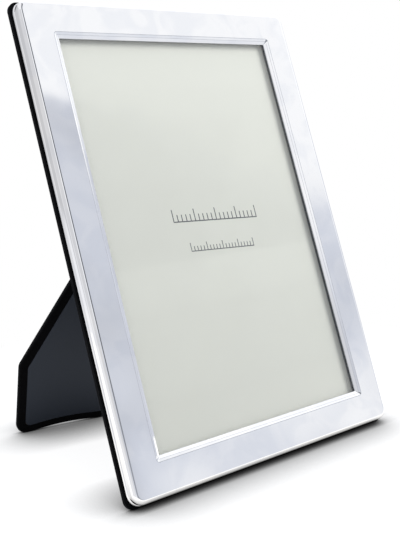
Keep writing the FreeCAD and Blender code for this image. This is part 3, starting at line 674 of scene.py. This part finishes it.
@dataclass
class Front:
    """The pressed front: hemmed sides, rounded shoulder, flat face, bevelled window and folded lip.

    The bevel has two facets and a crease round each of its edges, with shade painted into each crease.
    Sizes are in millimetres.
    """

    half_width: float = 61.555
    half_height: float = 86.555
    corner_radius: float = 4.0
    depth: float = 4.5
    hem_height: float = 1.4
    hem_stand: float = 0.35
    hem_flare: float = 0.5
    hem_round: float = 0.2
    shoulder: float = 1.5
    shoulder_in: float = 1.75
    window_half_width: float = 48.0
    window_half_height: float = 73.0
    window_radius: float = 0.1
    bevel_width: float = 2.15
    bevel_depth: float = 1.0
    bevel_corner: float = 1.2
    facet_width: float = 0.55
    facet_depth: float = 0.38
    crease_width: float = 0.2
    crease_depth: float = 0.03
    facet_crease_depth: float = 0.05
    lip_crease_width: float = 0.04
    lip_crease_above: float = 0.02
    lip_depth: float = 1.5
    rebate: float = 3.1
    rebate_up: float = 3.5
    sheet: float = 0.5

    def round_window(self, width: float, radius: float) -> Outline:
        """An outline that runs round the window at an even distance."""
        return Outline.rectangle(self.window_half_width + width, self.window_half_height + width, radius)

    def side_courses(self) -> list[Course]:
        """Draws the section of the side.

        Returns:
            The courses, from inside the hem to the edge of the flat face.
        """
        edge = Outline.rectangle(self.half_width, self.half_height, self.corner_radius)
        hem_front = self.depth - self.hem_height
        rows = bend(Course(edge, self.sheet, self.depth),
                    Course(edge, -self.hem_stand, self.depth - self.hem_round), along_depth=False, steps=3)
        rows += bend(Course(edge, -self.hem_stand, hem_front + self.hem_flare),
                     Course(edge, 0.0, hem_front), along_depth=True)
        rows += bend(Course(edge, 0.0, self.shoulder), Course(edge, self.shoulder_in, 0.0),
                     along_depth=True, steps=10)
        return rows

    def bevel_courses(self) -> list[Course]:
        """Draws the section of the bevel.

        Returns:
            The courses, from the flat face over the bevel to the lip's underside.
        """
        outer = self.round_window(self.bevel_width, self.bevel_corner)
        middle = self.round_window(self.bevel_width * self.facet_width, self.bevel_corner / 2)
        window = self.round_window(0.0, self.window_radius)
        facet = self.bevel_depth * self.facet_depth
        return [Course(outer, 0.0, 0.0, crease=True),
                Course(outer, self.crease_width, self.crease_depth),
                Course(middle, 0.0, facet, crease=True),
                Course(middle, self.crease_width / 2, facet + self.facet_crease_depth),
                Course(window, -self.lip_crease_width, self.bevel_depth - self.lip_crease_above),
                Course(window, 0.0, self.bevel_depth + self.lip_crease_width, crease=True),
                Course(window, 0.0, self.lip_depth, crease=True)]

    def under_courses(self) -> list[Course]:
        """Draws the section of the underside.

        Returns:
            The courses, from the lip back to the inside of the shoulder.
        """
        edge = Outline.rectangle(self.half_width, self.half_height, self.corner_radius)
        rebate = Outline.rectangle(self.window_half_width + self.rebate,
                                   self.window_half_height + self.rebate_up)
        rows = [Course(rebate, 0.0, self.lip_depth), Course(rebate, 0.0, self.sheet)]
        return rows + bend(Course(edge, self.shoulder_in, self.sheet),
                           Course(edge, self.sheet, self.shoulder), along_depth=False)

    def make(self, silver: bpy.types.Material, crease: bpy.types.Material) -> None:
        """Builds the pressed front.

        Args:
            silver: the finish of the sheet.
            crease: the painted shade in the creases.
        """
        rows = self.side_courses() + self.bevel_courses() + self.under_courses()
        piece = finished("front_pressing", skin(rows, ring=True), LEANING, "frame", silver,
                         ["front_moulding"])
        piece.data.materials.append(crease)


@dataclass
class Back:
    """The velvet on the surround and on the back door. Sizes are in millimetres."""

    front: float = Front.depth
    rear: float = 6.5
    half_width: float = 62.5
    half_height: float = 87.5
    corner_radius: float = 3.4
    turn_in: float = 4.0
    cloth: float = 0.35
    front_edge: float = 0.3
    soft_edge: float = 0.5
    mouth_half_width: float = 52.9
    mouth_half_height: float = 78.3
    door_gap: float = 0.3
    door_radius: float = 1.5

    def surround_courses(self) -> list[Course]:
        """Draws the section of the surround's velvet.

        Returns:
            The courses, over the edge, across the rear face, into the mouth and back inside.
        """
        edge = Outline.rectangle(self.half_width, self.half_height, self.corner_radius)
        mouth = Outline.rectangle(self.mouth_half_width, self.mouth_half_height)
        fold = Outline.rectangle(self.half_width - self.turn_in, self.half_height - self.turn_in)
        cloth, soft, fine = self.cloth, self.soft_edge, self.front_edge
        rows = [Course(fold, 0.0, self.front + cloth), Course(fold, 0.0, self.front)]
        rows += bend(Course(edge, fine, self.front), Course(edge, 0.0, self.front + fine),
                     along_depth=False, steps=4)
        rows += bend(Course(edge, 0.0, self.rear - soft), Course(edge, soft, self.rear), along_depth=True)
        rows += bend(Course(mouth, -soft, self.rear), Course(mouth, 0.0, self.rear - soft),
                     along_depth=False, steps=4)
        rows += [Course(mouth, 0.0, self.front), Course(mouth, -cloth, self.front),
                 Course(mouth, -cloth, self.rear - cloth), Course(edge, cloth, self.rear - cloth),
                 Course(edge, cloth, self.front + cloth)]
        return rows

    def door_courses(self) -> list[Course]:
        """Draws the section of the door's velvet.

        Returns:
            The courses, from the rear face over the edges to the turned-in underside.
        """
        edge = Outline.rectangle(self.mouth_half_width - self.door_gap,
                                 self.mouth_half_height - self.door_gap, self.door_radius)
        cloth, soft = self.cloth, self.soft_edge
        rows = bend(Course(edge, soft, self.rear), Course(edge, 0.0, self.rear - soft),
                    along_depth=False, steps=5)
        rows += [Course(edge, 0.0, self.front), Course(edge, cloth, self.front),
                 Course(edge, cloth, self.rear - cloth)]
        return rows

    def make(self, velvet: bpy.types.Material) -> None:
        """Builds both pieces of velvet.

        Args:
            velvet: the finish of both.
        """
        finished("surround_cloth", skin(self.surround_courses(), ring=True), LEANING, "frame", velvet,
                 ["surround_velvet"], CLOTH_SHARP_DEG)
        finished("door_cloth", skin(self.door_courses(), ring=False), LEANING, "frame", velvet,
                 ["door_velvet"], CLOTH_SHARP_DEG)


@dataclass
class Strut:
    """The strut's velvet wrap and the smooth lining on its near face, drawn closed, in millimetres.

    Its left side ends in a straight side foot, and its foot has two pads with a low arch between.
    """

    near: float = 10.1
    far: float = 13.1
    left: float = -60.9
    bottom: float = -85.2
    side_foot_height: float = 31.675
    foot_length: float = 39.0
    foot_spread: float = 1.3
    pad: float = 5.5
    arch: float = 1.0
    arch_steps: int = 12
    corner_radius: float = 4.0
    border: float = 3.3
    border_rounding: float = 1.6
    slant_deg: float = 18.0
    hinge_half: float = 16.0
    above_axis: float = 3.0
    lining_gap: float = 0.1
    lining_edge: float = 0.15
    cloth: float = Back.cloth
    soft_edge: float = 1.0

    def top_corner(self, side: int) -> tuple[float, float]:
        """Finds a top corner from the hinge's centre.

        Args:
            side: -1 for the left corner, 1 for the right one.
        Returns:
            The corner's place in the drawing.
        """
        centre = LEANING.inverted() @ Vector(joint_named("strut_hinge")["pos_m"])
        cos, sin = math.cos(math.radians(self.slant_deg)), math.sin(math.radians(self.slant_deg))
        return (centre.x + side * self.hinge_half * cos + self.above_axis * sin,
                centre.y - side * self.hinge_half * sin + self.above_axis * cos)

    def outline(self, radius: float) -> Outline:
        """Draws the strut's outline.

        Args:
            radius: how far its corners are rounded.
        Returns:
            The outline.
        """
        right = self.left + self.foot_length
        heel, toe = self.left + self.pad, right - self.pad
        arch = []
        for step in range(1, self.arch_steps):
            share = step / self.arch_steps
            # A parabola that rises to the arch's full height halfway.
            arch.append((heel + (toe - heel) * share, self.bottom + self.arch * 4 * share * (1 - share)))
        return Outline([self.top_corner(-1), (self.left, self.bottom + self.side_foot_height),
                        (self.left - self.foot_spread, self.bottom), (heel, self.bottom), *arch,
                        (toe, self.bottom), (right, self.bottom), self.top_corner(1)], radius)

    def place(self) -> Matrix:
        """Finds where the drawing lies with the strut open, as in the photograph.

        Returns:
            The place in the row frame.
        """
        joint = joint_named("strut_hinge")
        pivot = Matrix.Translation(joint["pos_m"])
        opening = -math.radians(joint["range_deg"][1])
        swing = pivot @ Matrix.Rotation(opening, 4, Vector(joint["axis"])) @ pivot.inverted()
        return swing @ LEANING

    def wrap_courses(self, edge: Outline, inner: Outline) -> list[Course]:
        """Draws the section of the velvet.

        Args:
            edge: the strut's outline.
            inner: the outline that the border's inner edge follows.
        Returns:
            The courses, from the far face round the edge to the border, and back inside.
        """
        cloth, soft = self.cloth, self.soft_edge
        rows = bend(Course(edge, soft, self.far), Course(edge, 0.0, self.far - soft), along_depth=False)
        rows += bend(Course(edge, 0.0, self.near + soft), Course(edge, soft, self.near), along_depth=True)
        rows += [Course(inner, self.border, self.near), Course(inner, self.border, self.near + cloth),
                 Course(edge, cloth, self.near + cloth), Course(edge, cloth, self.far - cloth)]
        return rows

    def lining_courses(self, inner: Outline) -> list[Course]:
        """Draws the section of the lining.

        Args:
            inner: the outline that the lining's edge follows.
        Returns:
            The courses, from the glued face to the open one.
        """
        inset, fine = self.border + self.lining_gap, self.lining_edge
        rows = [Course(inner, inset, self.near + self.cloth)]
        return rows + bend(Course(inner, inset, self.near + fine),
                           Course(inner, inset + fine, self.near), along_depth=True, steps=3)

    def make(self, velvet: bpy.types.Material, lining: bpy.types.Material) -> None:
        """Builds the wrap and the lining.

        Args:
            velvet: the wrap's finish.
            lining: the lining's finish.
        """
        edge = self.outline(self.corner_radius)
        inner = self.outline(self.corner_radius + self.border_rounding)
        finished("strut_cloth", skin(self.wrap_courses(edge, inner), ring=False), self.place(), "strut",
                 velvet, ["strut_velvet"], CLOTH_SHARP_DEG)
        finished("strut_lining_sheet", skin(self.lining_courses(inner), ring=False), self.place(), "strut",
                 lining, ["strut_lining"])


@dataclass
class Fittings:
    """The stamped and turned metal: both hinge leaves, the pin, the rivets, the turn buttons and posts.

    Each is a smooth copy of its CAD node. Points closer than same_point_mm are one point there, and
    edges that turn more than sharp_deg stay sharp.
    """

    same_point_mm: float = 0.002
    sharp_deg: float = 28.0

    def make(self, metal: bpy.types.Material) -> None:
        """Builds all of them.

        Args:
            metal: their finish.
        """
        for name in [key for key in frame["nodes"] if Slot.of_node(key) is Slot.NICKEL]:
            node = frame["nodes"][name]
            bm = bmesh.new()
            bm.from_mesh(node.data)
            bmesh.ops.remove_doubles(bm, verts=bm.verts[:], dist=self.same_point_mm * MM)
            bmesh.ops.recalc_face_normals(bm, faces=bm.faces[:])
            finished(name + "_plated", bm, Matrix.Identity(4), node["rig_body"], metal,
                     [name], self.sharp_deg)


@dataclass(frozen=True)
class Gaze:
    """Where the room is looked at: the direction, its two angles, and the clouds that lie there."""

    way: bpy.types.NodeSocket
    around: bpy.types.Node
    height: bpy.types.Node
    clouds: bpy.types.Node


@dataclass(frozen=True)
class Room:
    """The room that polished metal mirrors: grey walls, white softboxes and a dark flag.

    Around is counted in degrees from -Y, where the viewer stands, towards +X, and height in degrees
    over the horizon. A level of 1 is white. What stood round the object can't be seen in the
    photograph, so the room is shaped until each face of the front mirrors what it shows there. The
    camera itself sees plain white.
    """

    wall_tint: str = "#eaf0fe"
    side_tint: str = "#f4f6fc"
    box_tint: str = "#f6f9ff"
    tint_by_level: Band = Band(0.8, 1.05)
    tint_by_side: Band = Band(-20.0, 0.0)
    cloud_scale: float = 10.0
    cloud_detail: float = 2.0

    # The walls: a lighter foot that darkens to the right, and a band of light on the right.
    foot_level: Band = Band(48.0, 66.0, 0.93, 0.72)
    foot_top: Band = Band(8.5, 13.0)
    wall_level: float = 0.75
    right_glow: Band = Band(36.0, 48.0, 0.0, 0.06)
    mottle: Band = Band(0.35, 0.65, -0.05, 0.05)
    left_wall: Band = Band(-8.0, -1.0, 0.76, 0.0)
    rear_left: Band = Band(-125.0, -100.0, 1.0, 0.0)
    rear_left_wall: Band = Band(-6.0, -4.0)
    rear_left_level: float = 0.66
    rear_left_floor: Band = Band(-9.0, -5.0, 1.0, 0.0)
    rear_left_floor_level: float = 1.04

    # The large softbox overhead, whose edge runs through two ways (azimuth from +Y, elevation).
    box_edge: tuple[tuple[float, float], tuple[float, float]] = ((128.5, 24.0), (144.5, 34.5))
    box_waver: float = 0.13
    box_from: Band = Band(36.0, 50.0, 0.058, -0.09)
    box_full: float = 0.075
    box_left_end: Band = Band(-80.0, -60.0)
    box_right_end: Band = Band(66.0, 76.0, 1.0, 0.0)
    box_level: Band = Band(52.0, 60.0, 1.05, 1.2)

    # The smaller whites: a fill box ahead, the ceiling and a white wall on the right.
    fill_middle: float = -4.0
    fill_half: Band = Band(9.0, 14.0, 1.0, 0.0)
    fill_foot: Band = Band(17.0, 26.0)
    ceiling_foot: Band = Band(42.0, 52.0)
    right_wall_end: Band = Band(60.0, 68.0)
    right_wall_foot: Band = Band(13.5, 19.5)

    # The flag, right of the camera, that draws the grey lines in the bevel.
    flag_left: Band = Band(2.0, 6.0)
    flag_right: Band = Band(8.0, 20.0, 33.0, 29.5)
    flag_fade: Band = Band(-6.0, 0.0, 1.0, 0.0)
    flag_foot: Band = Band(-3.0, 3.0)
    flag_level: Band = Band(8.0, 22.0, 0.42, 0.18)

    @staticmethod
    def direction(azimuth_deg: float, elevation_deg: float) -> Vector:
        """Turns two angles into a way from the object.

        Args:
            azimuth_deg: the angle round it, from +Y towards +X.
            elevation_deg: the angle over the horizon.
        Returns:
            The way, with a length of 1.
        """
        azimuth, elevation = math.radians(azimuth_deg), math.radians(elevation_deg)
        return Vector((math.cos(elevation) * math.sin(azimuth), math.cos(elevation) * math.cos(azimuth),
                       math.sin(elevation)))

    def look_out(self, graph: Graph) -> Gaze:
        """Adds the nodes that say which way is looked at.

        Args:
            graph: the world's nodes.
        Returns:
            The way, its angles in degrees, and its clouds.
        """
        way = graph.add("TexCoord").outputs["Generated"]
        axes = graph.add("SeparateXYZ", way).outputs
        ahead = graph.add("Math", axes["Y"], -1.0, operation="MULTIPLY")
        around = graph.add("Math", axes["X"], ahead, operation="ARCTAN2")
        height = graph.add("Math", axes["Z"], operation="ARCSINE")
        return Gaze(way, graph.add("Math", around, operation="DEGREES"),
                    graph.add("Math", height, operation="DEGREES"),
                    graph.add("TexNoise", way, Scale=self.cloud_scale, Detail=self.cloud_detail))

    def walls(self, graph: Graph, gaze: Gaze) -> bpy.types.Node:
        """Adds the walls.

        Args:
            graph: the world's nodes.
            gaze: where the room is looked at.
        Returns:
            The node that gives the walls' level.
        """
        foot = graph.add("MapRange", gaze.around, *self.foot_level, **SMOOTH)
        level = graph.add("Mix", graph.add("MapRange", gaze.height, *self.foot_top, **SMOOTH),
                          in_2=foot, in_3=self.wall_level)
        glow = graph.add("MapRange", gaze.around, *self.right_glow, **SMOOTH)
        level = graph.add("Math", level, glow, operation="ADD")
        mottle = graph.add("MapRange", gaze.clouds, *self.mottle, **SMOOTH)
        level = graph.add("Math", level, mottle, operation="ADD")
        left = graph.add("MapRange", gaze.around, *self.left_wall, **SMOOTH)
        level = graph.add("Math", level, left, operation="MAXIMUM")
        rear_left = graph.add("MapRange", gaze.around, *self.rear_left, **SMOOTH)
        wall = graph.add("MapRange", gaze.height, *self.rear_left_wall, **SMOOTH)
        level = graph.add("Mix", graph.add("Math", rear_left, wall, operation="MULTIPLY"),
                          in_2=level, in_3=self.rear_left_level)
        floor = graph.add("MapRange", gaze.height, *self.rear_left_floor, **SMOOTH)
        return graph.add("Mix", graph.add("Math", rear_left, floor, operation="MULTIPLY"),
                         in_2=level, in_3=self.rear_left_floor_level)

    def whites(self, graph: Graph, gaze: Gaze) -> bpy.types.Node:
        """Adds the softbox overhead and the smaller whites.

        Args:
            graph: the world's nodes.
            gaze: where the room is looked at.
        Returns:
            The node that gives 1 where the room is white, and 0 elsewhere.
        """
        start, stop = (self.direction(*way) for way in self.box_edge)
        edge = start.cross(stop).normalized()
        edge *= math.copysign(1.0, edge.z)
        over = graph.add("VectorMath", gaze.way, edge, operation="DOT_PRODUCT").outputs["Value"]
        over = graph.add("Math", gaze.clouds, self.box_waver, over, operation="MULTIPLY_ADD")
        box_from = graph.add("MapRange", gaze.around, *self.box_from, **SMOOTH)
        box = graph.add("MapRange", over, box_from, self.box_full, **SMOOTH)
        left_end = graph.add("MapRange", gaze.around, *self.box_left_end, **SMOOTH)
        box = graph.add("Math", box, left_end, operation="MULTIPLY")
        right_end = graph.add("MapRange", gaze.around, *self.box_right_end, **SMOOTH)
        box = graph.add("Math", box, right_end, operation="MULTIPLY")
        off_middle = graph.add("Math", gaze.around, self.fill_middle, operation="SUBTRACT")
        aside = graph.add("Math", off_middle, operation="ABSOLUTE")
        fill = graph.add("Math", graph.add("MapRange", gaze.height, *self.fill_foot, **SMOOTH),
                         graph.add("MapRange", aside, *self.fill_half, **SMOOTH), operation="MULTIPLY")
        white = graph.add("Math", box, fill, operation="MAXIMUM")
        ceiling = graph.add("MapRange", gaze.height, *self.ceiling_foot, **SMOOTH)
        white = graph.add("Math", white, ceiling, operation="MAXIMUM")
        right = graph.add("Math", graph.add("MapRange", gaze.around, *self.right_wall_end, **SMOOTH),
                          graph.add("MapRange", gaze.height, *self.right_wall_foot, **SMOOTH),
                          operation="MULTIPLY")
        return graph.add("Math", white, right, operation="MAXIMUM")

    def flag(self, graph: Graph, gaze: Gaze) -> bpy.types.Node:
        """Adds the flag.

        Args:
            graph: the world's nodes.
            gaze: where the room is looked at.
        Returns:
            The node that gives 1 where the flag is, and 0 elsewhere.
        """
        left = graph.add("MapRange", gaze.around, *self.flag_left, **SMOOTH)
        right = graph.add("MapRange", gaze.height, *self.flag_right, **SMOOTH)
        past = graph.add("Math", gaze.around, right, operation="SUBTRACT")
        fade = graph.add("MapRange", past, *self.flag_fade, **SMOOTH)
        across = graph.add("Math", left, fade, operation="MULTIPLY")
        foot = graph.add("MapRange", gaze.height, *self.flag_foot, **SMOOTH)
        return graph.add("Math", across, foot, operation="MULTIPLY")

    def make(self) -> None:
        """Builds the world."""
        world = bpy.data.worlds.new("studio")
        bpy.context.scene.world = world
        world.use_nodes = True
        graph = Graph(world.node_tree)
        gaze = self.look_out(graph)
        box_level = graph.add("MapRange", gaze.around, *self.box_level, **SMOOTH)
        level = graph.add("Mix", self.whites(graph, gaze), in_2=self.walls(graph, gaze), in_3=box_level)
        flag_level = graph.add("MapRange", gaze.height, *self.flag_level, **SMOOTH)
        level = graph.add("Mix", self.flag(graph, gaze), in_2=level, in_3=flag_level)
        bright = graph.add("MapRange", level, *self.tint_by_level, **SMOOTH)
        tint = graph.add("Mix", bright, in_6=linear(self.wall_tint), in_7=linear(self.box_tint),
                         data_type="RGBA")
        side = graph.add("MapRange", gaze.around, *self.tint_by_side, **SMOOTH)
        tint = graph.add("Mix", side, in_6=linear(self.side_tint), in_7=tint.outputs[2],
                         data_type="RGBA")
        lit = graph.add("VectorMath", tint.outputs[2], Scale=level, operation="SCALE")
        seen = graph.add("LightPath").outputs["Is Camera Ray"]
        shown = graph.add("Mix", seen, in_6=lit, in_7=WHITE, data_type="RGBA")
        graph.add("OutputWorld", graph.add("Background", shown.outputs[2], 1.0))


@dataclass(frozen=True)
class KeyLamp:
    """The key lamp, large and soft, from above on the camera's right. Lengths are in metres."""

    watts: float = 7.5
    side: float = 0.6
    place: tuple[float, float, float] = (0.62, -0.58, 0.70)
    target: tuple[float, float, float] = (0.0, 0.03, 0.08)

    def make(self) -> None:
        """Adds the lamp. Metal mirrors the room's softboxes in its place."""
        data = bpy.data.lights.new("key_softbox", "AREA")
        data.shape, data.size, data.energy = "SQUARE", self.side, self.watts
        lamp = bpy.data.objects.new("key_softbox", data)
        way = Vector(self.target) - Vector(self.place)
        lamp.location = self.place
        lamp.rotation_euler = way.to_track_quat("-Z", "Y").to_euler()
        lamp.visible_glossy = False
        bpy.context.scene.collection.objects.link(lamp)


@dataclass(frozen=True)
class Floor:
    """A white tabletop that keeps the shadow near the object and is plain white farther out.

    Its colour is darker than white and is lifted for the camera and for mirrors, so that no more
    light comes on the object. Lengths are in metres, apart from the contact shadow's.
    """

    radius: float = 0.3
    edge_points: int = 96
    middle: tuple[float, float, float] = (0.0, 0.04, 0.0)
    shaded_to: float = 0.12
    white_from: float = 0.2
    tone: float = 0.3
    lift: float = 0.85
    contact_mm: float = 26.0
    contact_power: float = 2.0
    contact_rays: int = 16

    def material(self) -> bpy.types.Material:
        """Builds the floor's material.

        Returns:
            The new material.
        """
        material, graph = new_material("white_floor")
        place = graph.add("TexCoord").outputs["Object"]
        away = graph.add("VectorMath", place, self.middle, operation="DISTANCE").outputs["Value"]
        far = graph.add("MapRange", away, self.shaded_to, self.white_from)
        path = graph.add("LightPath").outputs
        open_air = graph.add("AmbientOcclusion", Distance=self.contact_mm * MM,
                             samples=self.contact_rays).outputs["AO"]
        contact = graph.add("Math", open_air, self.contact_power, operation="POWER")
        matt = graph.add("BsdfDiffuse", graph.add("Math", contact, self.tone, operation="MULTIPLY"))
        shown = graph.add("Math", path["Is Camera Ray"], path["Is Glossy Ray"], operation="MAXIMUM")
        lifted = graph.add("Math", contact, self.lift, operation="MULTIPLY")
        glow = graph.add("Emission", WHITE, graph.add("Math", lifted, shown, operation="MULTIPLY"))
        near = graph.add("AddShader", matt, glow)
        plain = graph.add("Math", far, path["Is Camera Ray"], operation="MULTIPLY")
        white = graph.add("Emission", WHITE, 1.0)
        graph.add("OutputMaterial", graph.add("MixShader", plain, near, white))
        return material

    def make(self) -> None:
        """Adds the floor."""
        bm = bmesh.new()
        bmesh.ops.create_circle(bm, cap_ends=True, segments=self.edge_points, radius=self.radius)
        mesh = bpy.data.meshes.new("floor")
        bm.to_mesh(mesh)
        bm.free()
        floor = bpy.data.objects.new("floor", mesh)
        bpy.context.scene.collection.objects.link(floor)
        mesh.materials.append(self.material())


@dataclass(frozen=True)
class Studio:
    """Soft white studio: a room that metal mirrors, a key lamp and a pale floor."""

    room: Room = Room()
    lamp: KeyLamp = KeyLamp()
    floor: Floor = Floor()

    def make(self) -> None:
        """Builds the room, the lamp and the floor."""
        self.room.make()
        self.lamp.make()
        self.floor.make()
        LOG.info("studio: room, a key lamp of %.1f W and the floor", self.lamp.watts)


@dataclass(frozen=True)
class PhotoCamera:
    """The camera that took the photograph, solved from the part's corners, in metres and degrees."""

    place: tuple[float, float, float] = (-0.20372, -0.224473, 0.120222)
    yaw_deg: float = 38.2133
    pitch_deg: float = 8.9645
    roll_deg: float = -2.7097
    focal_px: float = 867.966
    picture_height_px: float = 534.0
    sensor_mm: float = 36.0
    nearest: float = 0.01
    farthest: float = 20.0

    def make(self) -> None:
        """Adds the camera to the scene. In an upright picture the sensor's size is its height."""
        data = bpy.data.cameras.new("photo_camera")
        data.sensor_width = self.sensor_mm
        data.lens = self.focal_px / self.picture_height_px * self.sensor_mm
        data.clip_start, data.clip_end = self.nearest, self.farthest
        camera = bpy.data.objects.new("photo_camera", data)
        turn = (Matrix.Rotation(-math.radians(self.yaw_deg), 4, "Z")
                @ Matrix.Rotation(math.radians(90 - self.pitch_deg), 4, "X")
                @ Matrix.Rotation(math.radians(self.roll_deg), 4, "Z"))
        camera.matrix_world = Matrix.Translation(self.place) @ turn
        bpy.context.scene.collection.objects.link(camera)
        bpy.context.scene.camera = camera
        LOG.info("photo_camera: lens of %.1f mm", data.lens)


def main() -> None:
    """Builds the scene."""
    finishes = {
        Slot.WOOD: LIMEWOOD.make(),
        Slot.CARD: GREY_CARD.make(),
        Slot.BOARD: FIBREBOARD.make(),
        Slot.NICKEL: NICKEL.make(),
        Slot.LINING: LINING_CLOTH.make(),
        Slot.SILVER: SilverPlate().make(),
        Slot.GLASS: WindowGlass().make(),
        Slot.VELVET: Velvet().make(),
        Slot.PAPER: SlipPaper().make(),
    }
    for name, node in frame["nodes"].items():
        dress(node, finishes[Slot.of_node(name)])
    Fittings().make(finishes[Slot.NICKEL])
    # The front's second material paints shade into the bevel's creases.
    Front().make(finishes[Slot.SILVER], CREASE_SHADE.make())
    Back().make(finishes[Slot.VELVET])
    Strut().make(finishes[Slot.VELVET], finishes[Slot.LINING])
    Studio().make()
    PhotoCamera().make()
    bpy.context.scene.view_settings.view_transform = "Standard"


if __name__ == "__main__":
    logging.basicConfig(level=logging.INFO)
    main()
